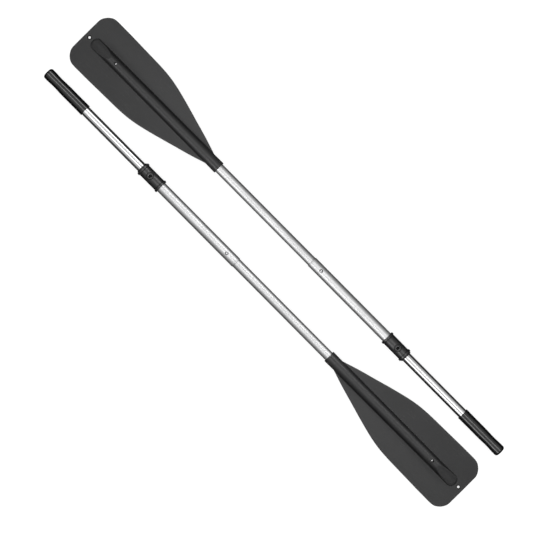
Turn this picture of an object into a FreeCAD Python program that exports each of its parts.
import FreeCAD, Part
import math
import os

# Take-apart kayak paddle, broken down into its two identical halves.
# Each half: blade with a tube socket along its spine, lower tube, larger sleeve
# tube with a collar, upper tube, hand grip, sprung snap buttons that lock the
# tubes in the sleeve, and tube plugs.
#
# Millimetres.  +X runs along the shafts, from half A's blade to half A's grip.
# +Z is up, with the spine side of the blades up.  The origin is on the ground
# between the halves; turning half A 180 degrees about Z gives half B.
# Pieces are made on the shaft axis (y = z = 0), then moved into place.

AXIS_Y = 67.0            # half A's shaft axis; half B's is at -AXIS_Y
CUT_REACH = 40.0         # drills reach this far from the shaft axis

# ---- tubes --------------------------------------------------------------
TUBE_OUTER_R = 25.4 / 2
TUBE_INNER_R = 11.5
SLEEVE_INNER_R = TUBE_OUTER_R + 0.06
SLEEVE_OUTER_R = 13.9
MOULDED_BORE_R = TUBE_OUTER_R + 0.02    # blade socket and grip, over a tube
LOWER_START_X, LOWER_END_X = -632.0, 165.0
SLEEVE_START_X, SLEEVE_END_X = 64.6, 392.0
UPPER_START_X, UPPER_END_X = 294.0, 716.0

# ---- collar -------------------------------------------------------------
COLLAR_START_X = 326.0
COLLAR_END_X = SLEEVE_END_X + 2.1
COLLAR_BORE_R = SLEEVE_OUTER_R + 0.02
COLLAR_BORE_END_X = SLEEVE_END_X + 0.1
COLLAR_LIP_R = 12.8      # bore of the lip that the sleeve tube's end stands against
COLLAR_BODY_R = 16.3
COLLAR_BODY_RISE = 0.1   # the body is this much larger at its far end
COLLAR_BLANK_R = 8.0     # inside of the turned blank, bored out later
START_FLANGE_R, START_FLANGE_W = 18.1, 5.8
END_FLANGE_R = 18.4
END_FLANGE_START_X, END_FLANGE_END_X = 385.0, 390.7
FLANGE_EASE = 0.9
FLANGE_FOOT = 0.8        # length of the slope from flange to body
END_STEP_X, END_STEP_R = 391.3, 15.9
END_EASE_R, END_FACE_R, END_EASE = 15.3, 14.7, 0.6
MOUTH_FLARE, MOUTH_DEPTH = 1.2, 1.6
RING_R, RING_HOLE_R = 7.9, 5.0
RING_BASE, RING_TOP, RING_EASE = 9.0, 17.9, 0.8
COLLAR_OVERCUT = 5.0

# ---- snap buttons -------------------------------------------------------
LOWER_BUTTON_X = 97.1
UPPER_BUTTON_X = 363.6
BUTTON_R = 4.0
BUTTON_HOLE_R = BUTTON_R + 0.15
LOWER_BUTTON_TOP = SLEEVE_OUTER_R + 2.5
UPPER_BUTTON_TOP = RING_TOP - 0.7
BUTTON_DOME = 1.4
LEAF_W, LEAF_T = 8.0, 0.6
LEAF_TOP = TUBE_INNER_R - 1.0
LEAF_BACK = 5.0          # flat leaf behind the button's centre
LEAF_FLAT = 8.0          # flat leaf ahead of the centre
LEAF_REACH = 50.0        # centre to the leaf's foot
LEAF_FOOT_Z = -4.5

# ---- plugs --------------------------------------------------------------
PLUG_R = TUBE_INNER_R - 0.04
PLUG_LEN = 15.0
PLUG_HOLLOW_R, PLUG_FLOOR = 8.5, 3.0
PLUG_EASE = 1.0
PLUG_FLANGE_R, PLUG_FLANGE_T, PLUG_FLANGE_EASE = 12.5, 1.5, 0.7
FLOAT_START_X, FLOAT_END_X, FLOAT_EASE = -606.0, -570.0, 1.5

# ---- grip ---------------------------------------------------------------
GRIP_START_X = 590.5
GRIP_BORE_END_X = UPPER_END_X + 1.0
GRIP_MOUTH_EASE = 0.8    # in radius
GRIP_CORNER_R = 6.0
GRIP_PROFILE = [         # x, radius
    (591.3, 14.77), (597.0, 14.66), (612.0, 14.50), (635.0, 14.42),
    (657.7, 14.50), (672.0, 14.18), (684.8, 13.74), (697.0, 14.02),
    (708.0, 14.46), (717.6, 14.45),
]

# ---- blade plate --------------------------------------------------------
BLADE_TIP_X = -726.4
PLATE_HALF_T = 1.8
OUTLINE = [              # x, half width; starts at the end of the straight tip edge
    (BLADE_TIP_X, 42.0),
    (-726.0, 48.5), (-725.0, 52.6), (-722.9, 57.4), (-720.3, 61.6),
    (-716.8, 66.0), (-712.6, 69.9), (-707.8, 73.2), (-702.4, 75.6),
    (-696.0, 76.8), (-676.0, 77.2), (-646.6, 77.0), (-622.0, 76.5),
    (-597.4, 76.0), (-572.8, 75.5), (-548.2, 75.0), (-523.6, 73.9),
    (-499.0, 71.4), (-474.4, 67.0), (-449.7, 61.1), (-425.1, 54.6),
    (-400.5, 47.7), (-375.9, 40.7), (-351.3, 33.9), (-331.6, 28.2),
    (-311.9, 21.9), (-292.2, 15.7), (-284.0, 13.4),
]
OUTLINE_REACH = 50.0     # the flat outline is extruded this far below and above
SCOOP_START_X = -330.0   # the plate leaves the shaft axis here ...
SCOOP_DROP = 13.29       # ... and is this much below it at the tip
CAMBER = 5.0             # fall from the centre line at CAMBER_HALF_W, once full
CAMBER_HALF_W = 77.0
CAMBER_START_X, CAMBER_FULL_X = -292.0, -450.0
GRID_START_X, GRID_STEP_X, GRID_COUNT_X = -745.0, 14.5, 35
GRID_START_Y, GRID_STEP_Y, GRID_COUNT_Y = -84.0, 12.0, 15
PLATE_SIDE_DEPTH = 80.0

# ---- blade spine --------------------------------------------------------
NECK_X = -259.5          # open end of the socket
SOCKET_END_X = LOWER_START_X - 0.5
SPINE_TIP_R, SPINE_NECK_R, SPINE_MOUTH_R = 13.9, 15.6, 16.0
SPINE_NECK_X = -292.2
SPINE_MOUTH_EASE = 0.8
SPINE_NOSE_X = -702.0
NOSE_CENTRE_X = SPINE_NOSE_X + SPINE_TIP_R    # the nose is round in plan
PLAN_HALF_W, PLAN_HALF_H = 30.0, 40.0
SKIRT_HALF_W = 13.4      # solid walls from the spine's flanks down to the plate
SKIRT_TOP_Z, SKIRT_BOTTOM_Z, SKIRT_END_X = -3.0, -30.0, -540.0
SCARF_START_X, SCARF_START_Z = -637.0, 14.2   # slope that cuts the nose away
SCARF_END_X, SCARF_END_Z = -704.0, -7.0
SPINE_HOLE_X, SPINE_HOLE_R = -619.6, 2.85
TIP_HOLE_X, TIP_HOLE_R = -713.1, 3.3
TIP_SINK_DEPTH = 1.2
TIP_SINK_OVERCUT = 1.0   # the countersink's cone ends this far above the plate
TIP_SINK_TOP_R = 6.78    # radius there

Vector = FreeCAD.Vector
ORIGIN, ALONG, UP = Vector(0, 0, 0), Vector(1, 0, 0), Vector(0, 0, 1)


# ---- helpers ------------------------------------------------------------
def cylinder_along(radius, start_x, end_x):
    return Part.makeCylinder(radius, end_x - start_x, Vector(start_x, 0, 0), ALONG)


def cylinder_up(radius, x, bottom_z, top_z):
    return Part.makeCylinder(radius, top_z - bottom_z, Vector(x, 0, bottom_z), UP)


def drill_through(shape, radius, x):
    return shape.cut(cylinder_up(radius, x, -CUT_REACH, CUT_REACH))


def drill_top(shape, radius, x):
    return shape.cut(cylinder_up(radius, x, 0, CUT_REACH))


def line(start_x, start_z, end_x, end_z):
    return Part.makeLine(Vector(start_x, 0, start_z), Vector(end_x, 0, end_z))


def turned(edges, centre_line=ALONG):
    """Solid of revolution from closed edges in the XZ plane."""
    return Part.Solid(Part.Face(Part.Wire(edges)).revolve(ORIGIN, centre_line, 360))


def turned_polygon(points):
    """Solid turned about the shaft axis from (x, radius) points."""
    return turned([line(*a, *b) for a, b in zip(points, points[1:] + points[:1])])


def prism_across(points, width):
    """Prism centred on y = 0, from (x, z) points."""
    corners = [Vector(x, -width / 2, z) for x, z in points]
    face = Part.Face(Part.makePolygon(corners + [corners[0]]))
    return face.extrude(Vector(0, width, 0))


# ---- blade --------------------------------------------------------------
def smooth(fraction):
    fraction = min(1.0, max(0.0, fraction))
    return fraction * fraction * (3 - 2 * fraction)


def plate_z(x, y):
    """Height of the plate's middle surface from the shaft axis."""
    run = max(0.0, (SCOOP_START_X - x) / (SCOOP_START_X - BLADE_TIP_X))
    camber = CAMBER * smooth((CAMBER_START_X - x) / (CAMBER_START_X - CAMBER_FULL_X))
    return -SCOOP_DROP * run * run - camber * (y / CAMBER_HALF_W) ** 2


def plate_side(sign):
    """Everything above (+1) or below (-1) the plate."""
    rows = []
    for i in range(GRID_COUNT_X):
        x = GRID_START_X + i * GRID_STEP_X
        row = []
        for j in range(GRID_COUNT_Y):
            y = GRID_START_Y + j * GRID_STEP_Y
            row.append(Vector(x, y, plate_z(x, y) + sign * PLATE_HALF_T))
        rows.append(row)
    surface = Part.BSplineSurface()
    surface.interpolate(rows)
    return surface.toShape().extrude(Vector(0, 0, sign * PLATE_SIDE_DEPTH))


def outline_face(z):
    points = [Vector(x, y, z) for x, y in OUTLINE]
    lengths = [0.0]      # the curve's parameters are the chord lengths
    for a, b in zip(points, points[1:]):
        lengths.append(lengths[-1] + a.distanceToPoint(b))
    neck_tangent = points[-1] - points[-2]
    neck_tangent.normalize()
    curve = Part.BSplineCurve()
    curve.interpolate(Points=points, Parameters=lengths, Scale=False,
                      InitialTangent=Vector(0, 1, 0), FinalTangent=neck_tangent)
    edge = curve.toShape()
    mirrored = edge.mirror(ORIGIN, Vector(0, 1, 0))
    tip_x, tip_y = OUTLINE[0]
    neck_x, neck_y = OUTLINE[-1]
    tip = Part.makeLine(Vector(tip_x, -tip_y, z), Vector(tip_x, tip_y, z))
    neck = Part.makeLine(Vector(neck_x, neck_y, z), Vector(neck_x, -neck_y, z))
    return Part.Face(Part.Wire(Part.__sortEdges__([tip, edge, neck, mirrored])))


def round_nosed_block(end_x, half_width, nose_r, bottom_z, height):
    """Upright block from the nose's centre to end_x, with a round nose."""
    corner = Vector(NOSE_CENTRE_X, -half_width, bottom_z)
    block = Part.makeBox(end_x - NOSE_CENTRE_X, 2 * half_width, height, corner)
    nose = Part.makeCylinder(nose_r, height, Vector(NOSE_CENTRE_X, 0, bottom_z), UP)
    return block.fuse(nose)


def make_plate():
    plate = outline_face(-OUTLINE_REACH).extrude(Vector(0, 0, 2 * OUTLINE_REACH))
    return plate.cut(plate_side(+1)).cut(plate_side(-1))


def make_spine():
    """Spine before boring, round on both faces of the plate, with its skirt."""
    spine = turned_polygon([
        (SPINE_NOSE_X, 0.0), (SPINE_NOSE_X, SPINE_TIP_R), (SCARF_START_X, SPINE_TIP_R),
        (SPINE_NECK_X, SPINE_NECK_R), (NECK_X - SPINE_MOUTH_EASE, SPINE_MOUTH_R),
        (NECK_X, SPINE_MOUTH_R - SPINE_MOUTH_EASE), (NECK_X, 0.0),
    ])
    spine = spine.common(round_nosed_block(
        NECK_X + 5, PLAN_HALF_W, SPINE_TIP_R, -PLAN_HALF_H, 2 * PLAN_HALF_H))
    scarf = prism_across([
        (SCARF_START_X, SCARF_START_Z), (SCARF_END_X, SCARF_END_Z),
        (SCARF_END_X, CUT_REACH), (SCARF_START_X, CUT_REACH),
    ], 2 * PLAN_HALF_W)
    # the skirt fills the gap between the round spine and the dropping plate
    skirt = round_nosed_block(SKIRT_END_X, SKIRT_HALF_W, SKIRT_HALF_W,
                              SKIRT_BOTTOM_Z, SKIRT_TOP_Z - SKIRT_BOTTOM_Z)
    skirt = skirt.cut(plate_side(-1))
    return spine.fuse(skirt).cut(scarf)


def make_blade():
    blade = make_plate().fuse(make_spine())
    blade = blade.cut(cylinder_along(MOULDED_BORE_R, SOCKET_END_X, NECK_X + 10))
    blade = drill_through(blade, SPINE_HOLE_R, SPINE_HOLE_X)
    blade = drill_through(blade, TIP_HOLE_R, TIP_HOLE_X)
    sink_z = plate_z(TIP_HOLE_X, 0.0) + PLATE_HALF_T - TIP_SINK_DEPTH
    return blade.cut(Part.makeCone(TIP_HOLE_R, TIP_SINK_TOP_R,
                                   TIP_SINK_DEPTH + TIP_SINK_OVERCUT,
                                   Vector(TIP_HOLE_X, 0, sink_z), UP))


# ---- tubes and plugs ----------------------------------------------------
def make_tube(outer_r, inner_r, start_x, end_x):
    bore = cylinder_along(inner_r, start_x - 1, end_x + 1)
    return cylinder_along(outer_r, start_x, end_x).cut(bore)


def make_lower_tube():
    tube = make_tube(TUBE_OUTER_R, TUBE_INNER_R, LOWER_START_X, LOWER_END_X)
    tube = drill_through(tube, SPINE_HOLE_R, SPINE_HOLE_X)
    return drill_top(tube, BUTTON_HOLE_R, LOWER_BUTTON_X)


def make_upper_tube():
    tube = make_tube(TUBE_OUTER_R, TUBE_INNER_R, UPPER_START_X, UPPER_END_X)
    return drill_top(tube, BUTTON_HOLE_R, UPPER_BUTTON_X)


def make_sleeve():
    tube = make_tube(SLEEVE_OUTER_R, SLEEVE_INNER_R, SLEEVE_START_X, SLEEVE_END_X)
    tube = drill_top(tube, BUTTON_HOLE_R, LOWER_BUTTON_X)
    return drill_top(tube, BUTTON_HOLE_R, UPPER_BUTTON_X)


def make_tube_plug(tube_end_x, inward):
    """Flanged stopper; inward (+1 or -1 along x) points into the tube."""
    profile = [          # depth into the tube, radius
        (-PLUG_FLANGE_T, 0.0),
        (-PLUG_FLANGE_T, PLUG_FLANGE_R - PLUG_FLANGE_EASE),
        (PLUG_FLANGE_EASE - PLUG_FLANGE_T, PLUG_FLANGE_R),
        (0.0, PLUG_FLANGE_R), (0.0, PLUG_R),
        (PLUG_LEN - PLUG_EASE, PLUG_R), (PLUG_LEN, PLUG_R - PLUG_EASE),
        (PLUG_LEN, PLUG_HOLLOW_R), (PLUG_FLOOR, PLUG_HOLLOW_R), (PLUG_FLOOR, 0.0),
    ]
    return turned_polygon([(tube_end_x + inward * depth, r) for depth, r in profile])


def make_float_plug():
    return turned_polygon([
        (FLOAT_START_X, 0.0), (FLOAT_START_X, PLUG_R - FLOAT_EASE),
        (FLOAT_START_X + FLOAT_EASE, PLUG_R), (FLOAT_END_X - FLOAT_EASE, PLUG_R),
        (FLOAT_END_X, PLUG_R - FLOAT_EASE), (FLOAT_END_X, 0.0),
    ])


# ---- snap buttons, collar and grip --------------------------------------
def make_button(button_x, top_z, away):
    """Domed button and its leaf spring, one piece.

    away (+1 or -1) is the way the leaf runs along x, towards the tube's
    inner end, sloping down across the bore."""
    base_z, rim_z = LEAF_TOP - LEAF_T, top_z - BUTTON_DOME
    dome_r = (BUTTON_R ** 2 + BUTTON_DOME ** 2) / (2 * BUTTON_DOME)
    mid = math.asin(BUTTON_R / dome_r) / 2
    dome = Part.Arc(
        Vector(BUTTON_R, 0, rim_z),
        Vector(dome_r * math.sin(mid), 0, top_z - dome_r * (1 - math.cos(mid))),
        Vector(0, 0, top_z)).toShape()
    head = turned([
        line(0, base_z, BUTTON_R, base_z),
        line(BUTTON_R, base_z, BUTTON_R, rim_z),
        dome,
        line(0, top_z, 0, base_z),
    ], UP)
    head.translate(Vector(button_x, 0, 0))
    profile = [          # distance from the button's centre, z
        (-LEAF_BACK, LEAF_TOP), (LEAF_FLAT, LEAF_TOP),
        (LEAF_REACH, LEAF_FOOT_Z), (LEAF_REACH, LEAF_FOOT_Z - LEAF_T),
        (LEAF_FLAT, base_z), (-LEAF_BACK, base_z),
    ]
    leaf = prism_across([(button_x + away * reach, z) for reach, z in profile], LEAF_W)
    return head.fuse(leaf)


def flange_points(start_x, end_x, radius):
    return [(start_x, radius - FLANGE_EASE), (start_x + FLANGE_EASE, radius),
            (end_x - FLANGE_EASE, radius), (end_x, radius - FLANGE_EASE)]


def make_collar():
    start_flange_end_x = COLLAR_START_X + START_FLANGE_W
    body = turned_polygon(
        [(COLLAR_START_X, COLLAR_BLANK_R)]
        + flange_points(COLLAR_START_X, start_flange_end_x, START_FLANGE_R)
        + [(start_flange_end_x + FLANGE_FOOT, COLLAR_BODY_R),
           (END_FLANGE_START_X - FLANGE_FOOT, COLLAR_BODY_R + COLLAR_BODY_RISE)]
        + flange_points(END_FLANGE_START_X, END_FLANGE_END_X, END_FLANGE_R)
        + [(END_STEP_X, END_STEP_R), (COLLAR_END_X - END_EASE, END_EASE_R),
           (COLLAR_END_X, END_FACE_R), (COLLAR_END_X, COLLAR_BLANK_R)])
    # upright ring around the upper button
    ease_z = RING_TOP - RING_EASE
    ring = cylinder_up(RING_R, UPPER_BUTTON_X, RING_BASE, ease_z).fuse(
        Part.makeCone(RING_R, RING_R - RING_EASE, RING_EASE,
                      Vector(UPPER_BUTTON_X, 0, ease_z), UP))
    body = body.fuse(ring)
    cut_start_x = COLLAR_START_X - COLLAR_OVERCUT
    body = body.cut(cylinder_along(COLLAR_BORE_R, cut_start_x, COLLAR_BORE_END_X))
    body = body.cut(cylinder_along(COLLAR_LIP_R, cut_start_x, COLLAR_END_X + COLLAR_OVERCUT))
    # eased mouth over the sleeve tube
    body = body.cut(Part.makeCone(COLLAR_BORE_R + MOUTH_FLARE, COLLAR_BORE_R, MOUTH_DEPTH,
                                  Vector(COLLAR_START_X, 0, 0), ALONG))
    return drill_top(body, RING_HOLE_R, UPPER_BUTTON_X)


def make_grip():
    curve = Part.BSplineCurve()
    curve.interpolate(Points=[Vector(x, 0, radius) for x, radius in GRIP_PROFILE])
    first_x, first_r = GRIP_PROFILE[0]
    last_x, last_r = GRIP_PROFILE[-1]
    end_x, end_r = last_x + GRIP_CORNER_R, last_r - GRIP_CORNER_R
    mid = math.pi / 4
    corner = Part.Arc(
        Vector(last_x, 0, last_r),
        Vector(last_x + GRIP_CORNER_R * math.sin(mid), 0,
               last_r - GRIP_CORNER_R * (1 - math.cos(mid))),
        Vector(end_x, 0, end_r)).toShape()
    mouth_r = first_r - GRIP_MOUTH_EASE
    return turned([
        line(GRIP_START_X, MOULDED_BORE_R, GRIP_START_X, mouth_r),
        line(GRIP_START_X, mouth_r, first_x, first_r),
        curve.toShape(),
        corner,
        line(end_x, end_r, end_x, 0.0),
        line(end_x, 0.0, GRIP_BORE_END_X, 0.0),
        line(GRIP_BORE_END_X, 0.0, GRIP_BORE_END_X, MOULDED_BORE_R),
        line(GRIP_BORE_END_X, MOULDED_BORE_R, GRIP_START_X, MOULDED_BORE_R),
    ])


# ---- assembly -----------------------------------------------------------
def make_half():
    return {
        "blade": make_blade(),
        "float_plug": make_float_plug(),
        "lower_tube": make_lower_tube(),
        "lower_tube_plug": make_tube_plug(LOWER_END_X, -1),
        "lower_snap_button": make_button(LOWER_BUTTON_X, LOWER_BUTTON_TOP, +1),
        "sleeve_tube": make_sleeve(),
        "collar": make_collar(),
        "upper_snap_button": make_button(UPPER_BUTTON_X, UPPER_BUTTON_TOP, -1),
        "upper_tube": make_upper_tube(),
        "upper_tube_plug": make_tube_plug(UPPER_START_X, +1),
        "grip": make_grip(),
    }


def main():
    # the shaft's height puts the lower of collar and blade edge on the ground
    blade_depth = max(PLATE_HALF_T - plate_z(x, y) for x, y in OUTLINE)
    axis_z = max(END_FLANGE_R, blade_depth)
    os.makedirs("parts", exist_ok=True)
    for name, shape in make_half().items():
        solids = shape.Solids
        if len(solids) != 1:
            raise ValueError("%s has %d solids" % (name, len(solids)))
        half_a = solids[0].copy()
        if half_a.Volume < 0:
            half_a.reverse()
        half_a.translate(Vector(0, AXIS_Y, axis_z))
        half_b = half_a.copy()
        half_b.rotate(ORIGIN, UP, 180)
        half_a.exportStep("parts/%s_a.step" % name)
        half_b.exportStep("parts/%s_b.step" % name)


main()
